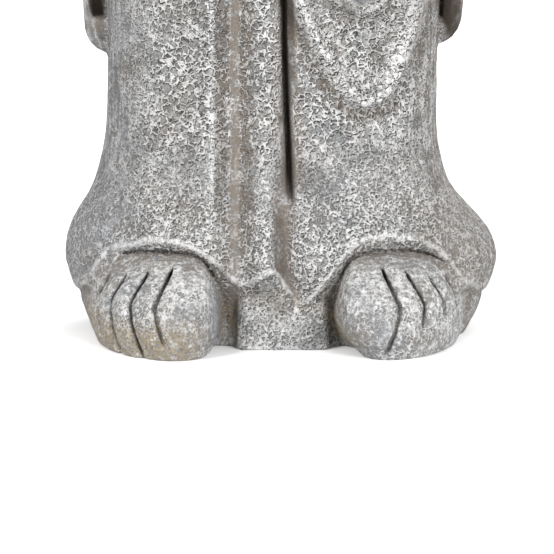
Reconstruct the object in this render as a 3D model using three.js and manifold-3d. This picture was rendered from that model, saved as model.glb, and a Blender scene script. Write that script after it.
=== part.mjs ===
// A standing stone jizo: a small monk with joined hands, a wide robe and bare feet, carved as one block.
// Millimetres, +Z up, the figure faces -Y and +X is on the viewer's right. All is joined into one solid.
import * as THREE from "three";
import { mergeVertices } from "three/addons/utils/BufferGeometryUtils.js";
import Module from "manifold-3d";

const wasm = await Module();
wasm.setup();

// Driving dimensions
const CROWN = 460; // ground to crown
const CHIN = 334;
const ROBE_TOP = 344; // where the robe closes round the neck
const HEM = 20; // the hem's low points above the ground
const WAIST = 226; // the front pleats die out here, behind the forearms
const SLEEVE_TIP = 124.5; // lowest point of the hanging sleeves
const SLEEVE_STAND = 10; // how far a hanging sleeve stands off the robe at its tip
const SLEEVE_LIP = 4; // thickness of the cloth round a sleeve's mouth
const MOUTH_FLOOR = 141; // a sleeve's mouth is closed below this height
const BLOCK_TOP = 50; // the block under the hem reaches up this far into the robe
const WRIST = { x: 17, y: -62, z: 250 };
const STONE = { color: 0x8f8d8a, roughness: 0.95, metalness: 0 };

// ---------------------------------------------------------------- small tools
const { PI, abs, atan2, cos, exp, hypot, max, min, sin, sqrt } = Math;
const share = (from, to, v) => THREE.MathUtils.clamp((v - from) / (to - from), 0, 1);
const smooth = (from, to, v) => THREE.MathUtils.smoothstep(share(from, to, v), 0, 1);
const mix = (a, b, t) => THREE.MathUtils.lerp(a, b, t);
const bump = (offset, halfWidth) => exp(-((offset / halfWidth) ** 2));
const arch = (t) => max(0, sin(PI * t)); // 0 at both ends, 1 halfway
const vec = (x, y, z) => new THREE.Vector3(x, y, z);
const joined = (bodies) => bodies.reduce((whole, next) => whole.add(next));

// A closed geometry as a solid: shared vertices merged, faces that have collapsed at a pole left out, and
// the winding turned round where moving the vertices has mirrored it.
function solid(geometry, winding = 1) {
  const bare = geometry.index ? geometry.toNonIndexed() : geometry.clone();
  bare.deleteAttribute("normal");
  bare.deleteAttribute("uv");
  const merged = mergeVertices(bare, 1e-3);
  const index = merged.index.array;
  const triVerts = [];
  for (let i = 0; i < index.length; i += 3) {
    const [a, b, c] = [index[i], index[i + 1], index[i + 2]];
    if (a !== b && b !== c && c !== a) triVerts.push(a, winding > 0 ? b : c, winding > 0 ? c : b);
  }
  const vertProperties = new Float32Array(merged.attributes.position.array);
  const body = new wasm.Manifold(
    new wasm.Mesh({ numProp: 3, vertProperties, triVerts: new Uint32Array(triVerts) }),
  );
  return body.volume() < 0 && winding > 0 ? solid(geometry, -1) : body;
}

// A solid back as three.js geometry.
function geometryOf(body) {
  const { vertProperties, triVerts, numProp } = body.getMesh();
  const geometry = new THREE.BufferGeometry();
  const places = new THREE.InterleavedBuffer(vertProperties, numProp);
  geometry.setAttribute("position", new THREE.InterleavedBufferAttribute(places, 3, 0));
  geometry.setIndex(new THREE.BufferAttribute(triVerts, 1));
  const plain = geometry.toNonIndexed();
  plain.computeVertexNormals();
  return plain;
}

// The same geometry with every vertex sent through place(x, y, z) -> [x, y, z].
function moved(geometry, place) {
  const position = geometry.attributes.position;
  for (let i = 0; i < position.count; i++) {
    position.setXYZ(i, ...place(position.getX(i), position.getY(i), position.getZ(i)));
  }
  return geometry;
}

// A column of unit radius and unit height on +Z, closed on its axis at both ends.
function column(sides, rows) {
  const profile = [new THREE.Vector2(0, 0)];
  for (let i = 0; i <= rows; i++) profile.push(new THREE.Vector2(1, i / rows));
  profile.push(new THREE.Vector2(0, 1));
  return new THREE.LatheGeometry(profile, sides).rotateX(PI / 2);
}

// An ellipsoid with half-sizes [rx, ry, rz], leaned about X.
function ellipsoid(centre, half, { lean = 0, sides = 16, rings = 10 } = {}) {
  const place = new THREE.Matrix4().compose(
    centre,
    new THREE.Quaternion().setFromEuler(new THREE.Euler(lean, 0, 0)),
    vec(...half),
  );
  return solid(new THREE.SphereGeometry(1, sides, rings).rotateX(PI / 2).applyMatrix4(place));
}

// A limb from one point to another, round at both ends, with its own radius at each.
function limb(from, to, r0, r1, sides = 10, caps = 3) {
  const length = from.distanceTo(to);
  const profile = [];
  for (let i = 0; i <= caps; i++) {
    const a = ((i / caps - 1) * PI) / 2;
    profile.push(new THREE.Vector2(i ? r0 * cos(a) : 0, r0 * sin(a)));
  }
  for (let i = 0; i <= caps; i++) {
    const a = ((i / caps) * PI) / 2;
    profile.push(new THREE.Vector2(i < caps ? r1 * cos(a) : 0, length + r1 * sin(a)));
  }
  const place = new THREE.Matrix4().compose(
    from,
    new THREE.Quaternion().setFromUnitVectors(vec(0, 1, 0), to.clone().sub(from).normalize()),
    vec(1, 1, 1),
  );
  return solid(new THREE.LatheGeometry(profile, sides).applyMatrix4(place));
}

// A rounded roll along a curve: thick(t) is its radius, flat presses it towards the figure's axis.
function roll(points, thick, { sides = 6, steps = 16, flat = 1 } = {}) {
  const path = new THREE.CatmullRomCurve3(points);
  const place = (x, y, t) => {
    const at = path.getPointAt(min(max(t, 0), 1));
    const along = path.getTangentAt(min(max(t, 0), 1));
    const out = vec(at.x, at.y, 0).normalize();
    const across = along.clone().cross(out).normalize();
    const outward = across.clone().cross(along).normalize();
    const r = thick(t);
    return at.addScaledVector(across, x * r).addScaledVector(outward, y * r * flat).toArray();
  };
  return solid(moved(column(sides, steps), place));
}

// A curve through the points [at, value], held level past its ends.
function curve(points) {
  const spline = new THREE.CubicInterpolant(
    points.map(([at]) => at),
    points.map(([, value]) => value),
    1,
  );
  const [first, last] = [points[0][0], points[points.length - 1][0]];
  return (at) => spline.evaluate(min(max(at, first), last))[0];
}

// ---------------------------------------------------------------- the robe
// Its outline at named heights: left and right edges, and how far the front and back reach.
const ROBE_LEVELS = [
  { z: 0, left: 92, right: 91, front: 63, back: 58 },
  { z: 18, left: 93.5, right: 92.5, front: 65, back: 60 },
  { z: 34, left: 97.3, right: 96, front: 67, back: 62 },
  { z: 44, left: 95.8, right: 92.3, front: 66.3, back: 61.3 },
  { z: 50, left: 93.2, right: 87.5, front: 65, back: 60 },
  { z: 62, left: 86, right: 76.8, front: 61, back: 57 },
  { z: 80, left: 80.5, right: 70.5, front: 57, back: 54 },
  { z: 110, left: 78, right: 69, front: 55, back: 53 },
  { z: 150, left: 78.5, right: 70.5, front: 56, back: 54 },
  { z: 200, left: 80, right: 75, front: 59, back: 56 },
  { z: 240, left: 80, right: 78, front: 59, back: 56 },
  { z: 275, left: 79, right: 79, front: 55, back: 53 },
  { z: 300, left: 72, right: 72, front: 49, back: 48 },
  { z: 322, left: 56, right: 56, front: 40, back: 40 },
  { z: 336, left: 40, right: 40, front: 33, back: 33 },
  { z: ROBE_TOP, left: 30, right: 30, front: 28, back: 28 },
];
const robeOutline = new THREE.CubicInterpolant(
  ROBE_LEVELS.map((level) => level.z),
  ROBE_LEVELS.flatMap((level) => [level.left, level.right, level.front, level.back]),
  4,
);
const SQUARENESS = 2.35; // 2 is an ellipse, more is boxier

// The hem's edge across the front: an arch over each foot, and between them the pleats' own ends.
const hemEdge = curve([
  [-96, HEM],
  [-90, 22],
  [-79, 38.5],
  [-66.5, 44.5],
  [-52, 46.6],
  [-38, 43.6],
  [-28.6, 37.7],
  [-22, 30.5],
  [-18.3, 27.7],
  [-11, 31.8],
  [-2.7, 34],
  [1.3, 27],
  [7, 20.3],
  [12.5, 22.5],
  [16, 26.7],
  [21.4, 33.5],
  [29.8, 44.2],
  [41, 48.6],
  [50.5, 48.3],
  [63, 45],
  [72.4, 37.4],
  [80.5, 27.2],
  [87, 21.5],
  [96, HEM],
]);
const hemHeight = (x, y) => mix(HEM, hemEdge(x), smooth(5, -30, y));

// Between the knees: a channel, a flat-topped ridge, the deep crease, and the valley it opens into.
const creaseLine = (z) => 0.6 + 3.6 * (1 - smooth(64, 150, z));
const valleyLine = (z) => -1.8 + 4.6 * (1 - smooth(20, 40, z));
function pleats(x, z) {
  const besideCrease = x - creaseLine(z) - mix(-2.2, 2.6, smooth(80, 140, z));
  const funnel = -2.9 * bump(besideCrease, 4.2) * smooth(55, 80, z);
  const fromValley = x - valleyLine(z);
  const steepWall = smooth(-3.4, 0, fromValley);
  const valley = -6.2 * steepWall * bump(max(fromValley, 0), 8.5) * (1 - smooth(52, 88, z));
  const ridge = 2.6 * bump(x + 8.2, 4.6);
  const channel = -4.6 * bump(x + 21.5, 6.5);
  const edge = 1.2 * bump(x + 32, 4);
  return (funnel + valley + ridge + channel + edge) * (1 - smooth(WAIST - 20, WAIST, z));
}

// Low folds fall down the plain back.
function backFolds(angle, z) {
  const low = 1 - smooth(150, 235, z);
  return 1.8 * cos(9 * angle) * low * smooth(0.2, 0.7, -cos(angle));
}

function robeRadius(angle, z) {
  const [left, right, front, back] = robeOutline.evaluate(z);
  const across = sin(angle);
  const along = cos(angle);
  const middle = (right - left) / 2;
  const wide = (right + left) / 2;
  const deep = along > 0 ? front : back;
  const plain = (abs(across / wide) ** SQUARENESS + abs(along / deep) ** SQUARENESS) ** (-1 / SQUARENESS);
  const inFront = smooth(0.1, 0.7, along);
  const reach = plain + inFront * pleats(middle + plain * across, z) + backFolds(angle, z);
  return { plain, reach, middle };
}
function atReach(angle, z, reach, middle) {
  return vec(middle + reach * sin(angle), -reach * cos(angle), z);
}
function onRobe(angle, z, out = 0) {
  const { reach, middle } = robeRadius(angle, z);
  return atReach(angle, z, reach + out, middle);
}

function robe() {
  const place = (x, y, h) => {
    const onAxis = hypot(x, y) < 0.5;
    const even = atan2(x, -y);
    const angle = even - 0.5 * sin(even); // closer steps in front, where the pleats are
    const foot = onRobe(angle, HEM);
    const hem = onAxis ? HEM : hemHeight(foot.x, foot.y);
    const z = hem + (ROBE_TOP - hem) * abs(h) ** 1.45; // closer rows near the hem
    return onAxis ? [0, 0, z] : onRobe(angle, z).toArray();
  };
  return solid(moved(column(50, 16), place));
}

// The one deep crease between the knees, cut as a narrow wedge that closes towards the hem.
const CREASE = { low: 59, high: WAIST, width: 1.1, flare: 1.9, depth: 8.5 };
function crease() {
  const place = (x, y, h) => {
    const z = mix(CREASE.low, CREASE.high, h + 0.5);
    const open = smooth(CREASE.low, 78, z) * (1 - smooth(CREASE.high - 45, CREASE.high, z));
    const line = creaseLine(z);
    const surface = -robeRadius(atan2(line, 60), z).reach;
    const width = CREASE.width + (y < 0 ? CREASE.flare * open : 0);
    return [line + x * width, y < 0 ? surface - 3 : surface + 0.5 + CREASE.depth * open, z];
  };
  return solid(moved(new THREE.BoxGeometry(1, 1, 1, 1, 1, 9), place));
}

// The swag over the left thigh: nested U folds, each with a thick rolled lip, that hang from the waist.
const SWAG = { x: 36.5, lowest: 108, spacing: 41, left: 30.5, right: 25, roll: 4.6 };
function swag() {
  return joined(
    [0, 1, 2].map((nth) => {
      const shrink = 1 - 0.16 * nth;
      const points = [];
      for (let i = 0; i <= 14; i++) {
        const across = (i / 14) * 2.1 - 1.05;
        const half = across < 0 ? SWAG.left : SWAG.right;
        const x = SWAG.x - 1.5 * nth + half * across * shrink;
        const rise = across < 0 ? 49 * abs(across) ** 1.6 : 47 * across ** 2.2;
        const z = SWAG.lowest + SWAG.spacing * nth + rise * (nth ? 0.7 : 1);
        points.push(onRobe(atan2(x, 52), z, -0.6));
      }
      const thick = (t) => SWAG.roll * (0.35 + 0.65 * arch(t) ** 0.6);
      return roll(points, thick, { steps: 9, sides: 5, flat: 0.68 });
    }),
  );
}

// ---------------------------------------------------------------- the sleeves
// Each hangs as a bag from the forearm. Its mouth is a long slit that falls from the wrist to the tip, wide
// open on the figure's right and nearly shut on its left.
const sleeveEdge = curve([
  [0.2, 240],
  [0.6, 226],
  [0.9, 206],
  [1.15, 182],
  [1.29, 160],
  [1.36, 142],
  [1.42, 129],
  [1.58, SLEEVE_TIP],
  [1.8, 132],
  [2.1, 160],
  [2.4, 200],
  [2.7, 230],
]); // angle from the front, height of the bag's lower edge
const LEFT_SLEEVE_LIFT = 4; // the figure's left sleeve, on the viewer's right, hangs a little higher
const sleeveLow = (side, angle) => sleeveEdge(angle) + (side > 0 ? LEFT_SLEEVE_LIFT : 0);
function sleeveStand(angle, z) {
  const atWrist = 1 - smooth(0.2, 0.95, angle);
  const high = smooth(165, 230, z);
  const behind = smooth(1.7, 2.6, angle);
  const closing = 1 - smooth(246, 300, z);
  return (SLEEVE_STAND + 7 * high + 5 * atWrist) * (1 - behind) * closing;
}
function sleeve(side) {
  const [front, back, top, corner] = [0.3, 2.6, 304, 12];
  const place = (u, v, w) => {
    const angle = mix(front, back, u + 0.5);
    const low = sleeveLow(side, angle);
    const z = mix(low, top, abs(v + 0.5) ** 1.6); // closer rows at the rounded lower edge
    const rounded = sqrt(max(0.15, 1 - (1 - share(0, corner, z - low)) ** 2));
    return onRobe(side * angle, z, mix(-9, sleeveStand(angle, z) * rounded, w + 0.5)).toArray();
  };
  return solid(moved(new THREE.BoxGeometry(1, 1, 1, 12, 5, 1), place));
}
function sleeveMouth(side) {
  const [front, back, deep, below] = [0.42, 1.47, 15, 4];
  const place = (u, v, w) => {
    const angle = mix(front, back, u + 0.5);
    const low = sleeveLow(side, angle);
    const z = v < 0 ? max(low - below, MOUTH_FLOOR) : max(low + deep, MOUTH_FLOOR + 2);
    const gape = side < 0 ? 1 : mix(0.3, 1, smooth(165, 200, z));
    const { plain, middle } = robeRadius(side * angle, z);
    const open = max(sleeveStand(angle, z) - SLEEVE_LIP, 0.4) * gape;
    return atReach(side * angle, z, plain + 0.2 + (w + 0.5) * open, middle).toArray();
  };
  return solid(moved(new THREE.BoxGeometry(1, 1, 1, 9, 1, 1), place));
}
function forearm(side) {
  const elbow = vec(side * 76, -8, 238);
  const cuff = vec(side * (WRIST.x + 14), WRIST.y + 8, WRIST.z);
  const wrist = vec(side * WRIST.x, WRIST.y, WRIST.z + 4);
  const knuckles = vec(side * 7, -72, 268);
  return joined([limb(elbow, cuff, 20, 17, 12, 2), limb(wrist, knuckles, 9, 8, 8, 2)]);
}

// ---------------------------------------------------------------- the joined hands
function hand(side) {
  const palm = ellipsoid(vec(side * 6, -72, 274), [6.5, 14, 22], { lean: -0.3, sides: 8, rings: 6 });
  const fingers = [0, 1, 2, 3].map((i) => {
    const root = vec(side * 5.5, -64 - i * 6.2, 288 - i * 1.5);
    const tip = vec(side * 4.4, -71 - i * 5.2, 316 - abs(i - 1.4) * 4);
    return limb(root, tip, 4.8, 3.9, 6, 2);
  });
  const thumb = limb(vec(side * 8, -60, 276), vec(side * 5.5, -62, 296), 5, 4.2, 6, 2);
  return joined([palm, ...fingers, thumb]);
}

// ---------------------------------------------------------------- the ground mass and the feet
// Under the hem the block runs down to the ground, a little inside the cloth and further in over the feet.
function groundMass() {
  const place = (x, y, h) => {
    const onAxis = hypot(x, y) < 0.5;
    const z = BLOCK_TOP * h * h;
    if (onAxis) return [0, 0, z];
    const angle = atan2(x, -y);
    const { plain, middle } = robeRadius(angle, 18);
    const rim = atReach(angle, 18, plain, middle);
    const fromMiddle = abs(rim.x - 1);
    const overFoot = smooth(17, 27, fromMiddle) * (1 - smooth(84, 92, abs(rim.x))) * smooth(-20, -45, rim.y);
    const undercut = 2 + 7 * max(0, 1 - z / 15) ** 1.4;
    const tuck = mix(3 * smooth(4, 26, z), undercut, smooth(45, 80, abs(rim.x))) + 9 * smooth(30, 50, z);
    return atReach(angle, z, plain - 1 - 9.5 * overFoot - tuck, middle).toArray();
  };
  return solid(moved(column(34, 4), place));
}

// Each bare foot is one smooth dome that comes out from under its arch. Its outline is measured from its own
// centre, by the angle from straight ahead towards the little toe.
const footOutline = curve([
  [-180, 60],
  [-155, 55],
  [-125, 35],
  [-98, 32],
  [-71, 31],
  [-48, 37],
  [-31, 44],
  [-14, 45.2],
  [4.5, 38.5],
  [25, 31.5],
  [53, 26.2],
  [86, 25.8],
  [123, 33],
  [155, 50],
  [180, 60],
]);
const FOOT = { y: -50, edge: 14, widest: 13, arch: 30, under: 21, instep: 48 };
const FEET = [
  { side: -1, x: -57, innerTuck: 1, grooveEnds: [6, -1, -1, 6] },
  { side: 1, x: 52.5, innerTuck: 10, grooveEnds: [3, 13, 15, 17] },
];
// Four grooves part the five toes, big toe on the inner side. Each starts from a place on the dome, splays
// outwards, ends at its own top and curls in towards the big toe below the bend.
const GROOVES = [
  { out: -0.3, ahead: 40, splay: 0.19, top: 38 },
  { out: 10.9, ahead: 31, splay: 0.34, top: 36.5 },
  { out: 19.9, ahead: 17, splay: 0.66, top: 34 },
  { out: 25.2, ahead: 1.75, splay: 0.85, top: 33 },
];
const GROOVE = { width: 1.7, depth: 3.4, bend: 23, curl: 8 };

function footReach(foot, angle, z) {
  const tuck = foot.innerTuck * bump(angle + 0.8, 0.55) * max(0, 1 - z / 15) ** 1.3;
  const rise = (z - FOOT.widest) / (z > FOOT.widest ? FOOT.arch : FOOT.under);
  const rounding = FOOT.edge * (1 - sqrt(max(0, 1 - rise * rise)));
  return footOutline(angle * THREE.MathUtils.RAD2DEG) - tuck - rounding;
}
function footRoof(out, ahead) {
  const forward = 0.0039 * max(ahead + 10, 0) ** 2.25;
  const sideways = 0.0145 * max(out + 13, 0) ** 2;
  return FOOT.instep - forward - sideways + 0.5 * max(6 - ahead, 0);
}
const fromFoot = (foot, out, ahead, z) => [foot.x + foot.side * out, FOOT.y - ahead, z];

function footDome(foot) {
  const rows = 6; // the last one lies halfway in over the top
  const steepest = -Math.asin((FOOT.widest + 1) / FOOT.under);
  const place = (x, y, h) => {
    const onAxis = hypot(x, y) < 0.5;
    const row = Math.round(h * rows);
    const tilt = mix(steepest, PI / 2, min(row / (rows - 1), 1));
    const z = FOOT.widest + (tilt > 0 ? FOOT.arch : FOOT.under) * sin(tilt);
    if (onAxis) return fromFoot(foot, 0, 0, z);
    const angle = atan2(foot.side * x, -y);
    const reach = footReach(foot, angle, z) * (row === rows ? 0.5 : 1);
    const [out, ahead] = [reach * sin(angle), reach * cos(angle)];
    return fromFoot(foot, out, ahead, min(z, footRoof(out, ahead)));
  };
  return solid(moved(column(25, rows), place));
}

// A groove's cutter: at each height a strip that starts on the dome's surface and goes in by the depth.
function footGroove(foot, line, end) {
  const [ahead, aside] = [cos(line.splay), sin(line.splay)];
  const spot = (distance, off) => [
    line.out + aside * distance + ahead * off,
    line.ahead + ahead * distance - aside * off,
  ];
  const inside = (distance, off, z) => {
    const [o, a] = spot(distance, off);
    return hypot(o, a) < footReach(foot, atan2(o, a), z) && z < footRoof(o, a);
  };
  const place = (x, y, h) => {
    const z = mix(end - 1, line.top, h + 0.5);
    const curl = GROOVE.curl * share(GROOVE.bend, 0, z) ** 1.2;
    const off = -curl - 1.5 * share(GROOVE.bend, 37, z);
    let [within, beyond] = [-40, 30];
    for (let i = 0; i < 24; i++) {
      const middle = (within + beyond) / 2;
      if (inside(middle, off, z)) within = middle;
      else beyond = middle;
    }
    const depth = GROOVE.depth * smooth(end - 2, end + 4, z) * (1 - smooth(line.top - 5, line.top + 1, z));
    const distance = y < 0 ? within - depth : within + 4;
    return fromFoot(foot, ...spot(distance, off + x * GROOVE.width), z);
  };
  return solid(moved(new THREE.BoxGeometry(1, 1, 1, 1, 1, 5), place));
}
function foot(each) {
  const grooves = GROOVES.map((line, i) => footGroove(each, line, each.grooveEnds[i]));
  return footDome(each).subtract(joined(grooves));
}

// ---------------------------------------------------------------- collar and surplice
// The robe's bordered collar comes round the neck and crosses over the chest.
function collar() {
  const border = (over) => {
    const points = [];
    for (let i = 0; i <= 16; i++) {
      const t = i / 16;
      const angle = mix(PI + 0.2, -0.3, t) * over;
      points.push(onRobe(angle, mix(334, 286, smooth(0.5, 1.05, t)), over > 0 ? -2.4 : -1));
    }
    return roll(points, (t) => 6 * (0.55 + 0.45 * smooth(0, 0.2, t)), { steps: 8, flat: 0.75 });
  };
  return joined([border(1), border(-1)]);
}

// The surplice's upper edge runs from the left shoulder across the chest and back under the right arm.
function surplice() {
  const points = [];
  for (let i = 0; i <= 18; i++) {
    const t = i / 18;
    points.push(onRobe(mix(1.7, -1.35, t), mix(322, 262, t ** 0.9), -1));
  }
  const behind = points.map((point, i) => onRobe(mix(1.5, 4.9, i / 18), mix(322, 262, (i / 18) ** 0.9), -1));
  const thick = () => 4.2;
  return joined([roll(points, thick, { steps: 10 }), roll(behind, thick, { steps: 8 })]);
}

// ---------------------------------------------------------------- the head
const HEAD = vec(0, -4, 397);
function ear(side) {
  const shell = ellipsoid(vec(side * 51, 0, 396), [5.5, 10, 18], { lean: 0.12, sides: 8, rings: 6 });
  const lobe = ellipsoid(vec(side * 49, -4, 370), [5.5, 7, 15], { sides: 8, rings: 5 });
  return joined([shell, lobe]);
}
function face() {
  const pair = (build) => [build(-1), build(1)];
  const nose = limb(vec(0, -55, 404), vec(0, -62.5, 383.5), 3.2, 5, 7, 2);
  const wings = pair((s) => ellipsoid(vec(s * 6, -57, 382), [4, 5, 4], { sides: 7, rings: 5 }));
  const lids = pair((s) => ellipsoid(vec(s * 20, -47.5, 396), [12, 9, 6.5], { sides: 9, rings: 5 }));
  const brows = pair((s) => {
    const points = [];
    for (let i = 0; i <= 8; i++) {
      const t = i / 8;
      points.push(vec(s * mix(6, 38, t), -57 + 19 * t ** 2.2, 404 + 7 * arch(t) ** 0.9 - 2 * t));
    }
    return roll(points, (t) => 2.6 * (0.4 + 0.6 * arch(t)), { steps: 6, sides: 5 });
  });
  const upper = ellipsoid(vec(0, -55.5, 366.5), [10, 5, 2.6], { sides: 8, rings: 4 });
  const lower = ellipsoid(vec(0, -55, 362), [8, 5, 3], { sides: 8, rings: 4 });
  const chin = ellipsoid(vec(0, -46, 345), [12, 8, 8], { sides: 8, rings: 4 });
  return joined([nose, ...wings, ...lids, ...brows, upper, lower, chin]);
}
function head() {
  const skull = ellipsoid(HEAD, [50, 54, CROWN - HEAD.z], { sides: 17, rings: 10 });
  const jaw = ellipsoid(vec(0, -14, 374), [43, 41, 374 - CHIN], { sides: 13, rings: 8 });
  const neck = limb(vec(0, 2, 322), vec(0, 0, 350), 29, 28, 12, 2);
  return joined([skull, jaw, neck, face(), ear(-1), ear(1)]);
}

// ---------------------------------------------------------------- the whole figure, cut flat at the ground
// Pockets sealed in between joined parts are filled: only the outer skin is kept.
function outerSkin(body) {
  let pieces = solid(geometryOf(body)).decompose();
  while (pieces.length > 1) {
    const outer = pieces.reduce((a, b) => (a.volume() > b.volume() ? a : b));
    pieces = solid(geometryOf(outer)).decompose();
  }
  return pieces[0];
}

const cloth = joined([robe(), swag()]).subtract(crease());
let figure = joined([
  cloth,
  groundMass(),
  ...FEET.map(foot),
  ...[-1, 1].flatMap((side) => [sleeve(side).subtract(sleeveMouth(side)), forearm(side), hand(side)]),
  collar(),
  surplice(),
  head(),
]);
const under = new THREE.BoxGeometry(400, 400, 100).translate(0, 0, -50);
figure = figure.subtract(solid(under));

// The origin is the middle of the footprint, on the ground.
const box = figure.boundingBox();
figure = outerSkin(figure.translate([-(box.min[0] + box.max[0]) / 2, -(box.min[1] + box.max[1]) / 2, 0]));

const statue = new THREE.Mesh(geometryOf(figure), new THREE.MeshStandardMaterial(STONE));
statue.name = "jizo_statue";

const jizo = new THREE.Group();
jizo.add(statue);
export default jizo;
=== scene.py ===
import bpy
import numpy as np
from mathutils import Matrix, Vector


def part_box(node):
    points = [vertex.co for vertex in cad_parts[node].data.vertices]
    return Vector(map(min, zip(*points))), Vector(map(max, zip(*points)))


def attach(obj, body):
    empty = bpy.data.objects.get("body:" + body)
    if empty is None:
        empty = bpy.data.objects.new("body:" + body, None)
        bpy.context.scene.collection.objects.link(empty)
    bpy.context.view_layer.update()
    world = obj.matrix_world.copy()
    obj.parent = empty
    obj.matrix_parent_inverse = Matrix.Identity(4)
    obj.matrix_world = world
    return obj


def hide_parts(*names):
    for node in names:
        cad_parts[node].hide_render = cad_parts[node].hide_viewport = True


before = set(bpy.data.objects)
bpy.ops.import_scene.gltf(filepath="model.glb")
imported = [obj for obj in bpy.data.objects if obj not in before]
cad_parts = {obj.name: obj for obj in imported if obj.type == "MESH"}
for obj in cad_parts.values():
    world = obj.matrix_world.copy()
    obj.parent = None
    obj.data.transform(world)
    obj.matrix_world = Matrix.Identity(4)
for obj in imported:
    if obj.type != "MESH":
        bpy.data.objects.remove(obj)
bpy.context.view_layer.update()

# ====================================================================================================
# The robe
# A monk's long robe, cast in one with the whole figure from stone-coloured cement. It hangs straight from
# the shoulders to the knees, spreads at the hem and rises there in an arch over each bare foot.
# The carving is worked out in mm on a lattice of stations: below zero is stone, above zero is air.
HEM = 20.0
WAIST = 226.0
ROBE_TOP = 344.0
SQUARENESS = 2.35
COARSE = 1.0
#        z    left right front back
ROBE_LEVELS = np.array(
    [
        (0, 92, 91, 63, 58),
        (18, 93.5, 92.5, 65, 60),
        (34, 97.3, 96, 67, 62),
        (44, 95.8, 92.3, 66.3, 61.3),
        (50, 93.2, 87.5, 65, 60),
        (62, 86, 76.8, 61, 57),
        (80, 80.5, 70.5, 57, 54),
        (110, 78, 69, 55, 53),
        (150, 78.5, 70.5, 56, 54),
        (200, 80, 75, 59, 56),
        (240, 80, 78, 59, 56),
        (275, 79, 79, 55, 53),
        (300, 72, 72, 49, 48),
        (322, 56, 56, 40, 40),
        (336, 40, 40, 33, 33),
        (ROBE_TOP, 30, 30, 28, 28),
        (470, 30, 30, 28, 28),
    ]
)


def stations(*runs):
    """Places along one axis, in mm, from runs of (from, to, step)."""
    return np.concatenate([np.arange(a, b, step * COARSE) for a, b, step in runs]).astype(np.float32)


XS = stations((-101, 101, 0.88))
YS = stations((-98, -44, 0.86), (-44, 68, 1.6))
ZS = stations((-0.4, 52, 0.82), (52, 160, 1.04), (160, 330, 1.6), (330, 464, 1.2))
ANGLES = np.linspace(-np.pi, np.pi, 1441)  # 0 is straight ahead, + towards the viewer's right


def step(a, b, v):
    """0 below a, 1 above b, smooth between."""
    t = np.clip((v - a) / (b - a), 0, 1)
    return t * t * (3 - 2 * t)


def mix(a, b, t):
    return a + (b - a) * t


def bump(offset, half_width):
    return np.exp(-((offset / half_width) ** 2))


def smooth_curve(at, places, values):
    """A curve through the values, with no corners."""
    slope = np.gradient(values, places)
    i = np.clip(np.searchsorted(places, at) - 1, 0, len(places) - 2)
    span = places[i + 1] - places[i]
    t = np.clip((at - places[i]) / span, 0, 1)
    return (
        (1 + 2 * t) * (1 - t) ** 2 * values[i]
        + t * (1 - t) ** 2 * span * slope[i]
        + t * t * (3 - 2 * t) * values[i + 1]
        - t * t * (1 - t) * span * slope[i + 1]
    )


def union(a, b, soft):
    """Two bodies as one, the corner between them filled over a width of soft."""
    blend = np.maximum(soft - np.abs(a - b), 0)
    return np.minimum(a, b) - blend * blend / (4 * soft)


def cut(a, b, soft):
    """Body a without body b."""
    return -union(-a, b, soft)


def to_curve(px, pz, cx, cz):
    """Distance in a plane from each point to an open curve."""
    nearest = np.full(px.shape, 1e9)
    for x0, z0, x1, z1 in zip(cx[:-1], cz[:-1], cx[1:], cz[1:]):
        dx, dz = x1 - x0, z1 - z0
        t = np.clip(((px - x0) * dx + (pz - z0) * dz) / (dx * dx + dz * dz), 0, 1)
        nearest = np.minimum(nearest, (px - x0 - t * dx) ** 2 + (pz - z0 - t * dz) ** 2)
    return np.sqrt(nearest)


def crease_line(z):
    """The x of the deep crease, which leans to the right as it falls."""
    return 0.6 + 3.6 * (1 - step(64, 150, z))


def valley_line(z):
    """The x of the valley's steep left side, which the crease opens into near the hem."""
    return -1.8 + 4.6 * (1 - step(20, 40, z))


# The robe's surface is a table of how far it stands from its axis, one row a height, one column an angle.
turn, height = np.meshgrid(ANGLES, ZS.astype(float))
level_heights, *level_reaches = ROBE_LEVELS.T
left, right, front, back = [smooth_curve(height, level_heights, reach) for reach in level_reaches]
middle = (right - left) / 2
robe_reach = (
    np.abs(np.sin(turn) / ((right + left) / 2)) ** SQUARENESS
    + np.abs(np.cos(turn) / np.where(np.cos(turn) > 0, front, back)) ** SQUARENESS
) ** (-1 / SQUARENESS)
facing = step(0.1, 0.7, np.cos(turn))
across = middle + robe_reach * np.sin(turn)  # x of each point of the table, as seen from in front

# The pleats between the knees: a channel, a flat-topped ridge, and one deep crease that opens into a
# valley before the hem. A shallow groove runs down near the left edge, where the side panel begins.
pleat_fade = 1 - step(WAIST - 20, WAIST, height)
crease_x = crease_line(height)
crease_open = step(59, 78, height) * pleat_fade
funnel_off = mix(-2.2, 2.6, step(80, 140, height))  # the crease's wide mouth moves across as it rises
valley_x = valley_line(height)
pleats = (
    -10.0 * bump(across - crease_x, 1.3) * crease_open
    - 2.9 * bump(across - crease_x - funnel_off, 4.2) * step(55, 80, height)
    - 6.2 * step(-3.4, 0, across - valley_x) * bump(np.maximum(across - valley_x, 0), 8.5)
    * (1 - step(52, 88, height))
    + 2.6 * bump(across + 8.2, 4.6)
    - 4.6 * bump(across + 21.5, 6.5)
    + 1.2 * bump(across + 32, 4)
    - 1.2 * bump(across + 73, 2.2) * step(35, 60, height) * (1 - step(105, 120, height))
) * pleat_fade

# The swag over the figure's left thigh hangs in nested U folds, each with a thick rolled lip. Short creases
# gather at the bottom of the outermost fold.
SWAG_LOWEST = np.array((36.5, 108.0))
SWAG_SPACING = 41.0
SWAG_HALVES = (30.5, 25.0)


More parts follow.
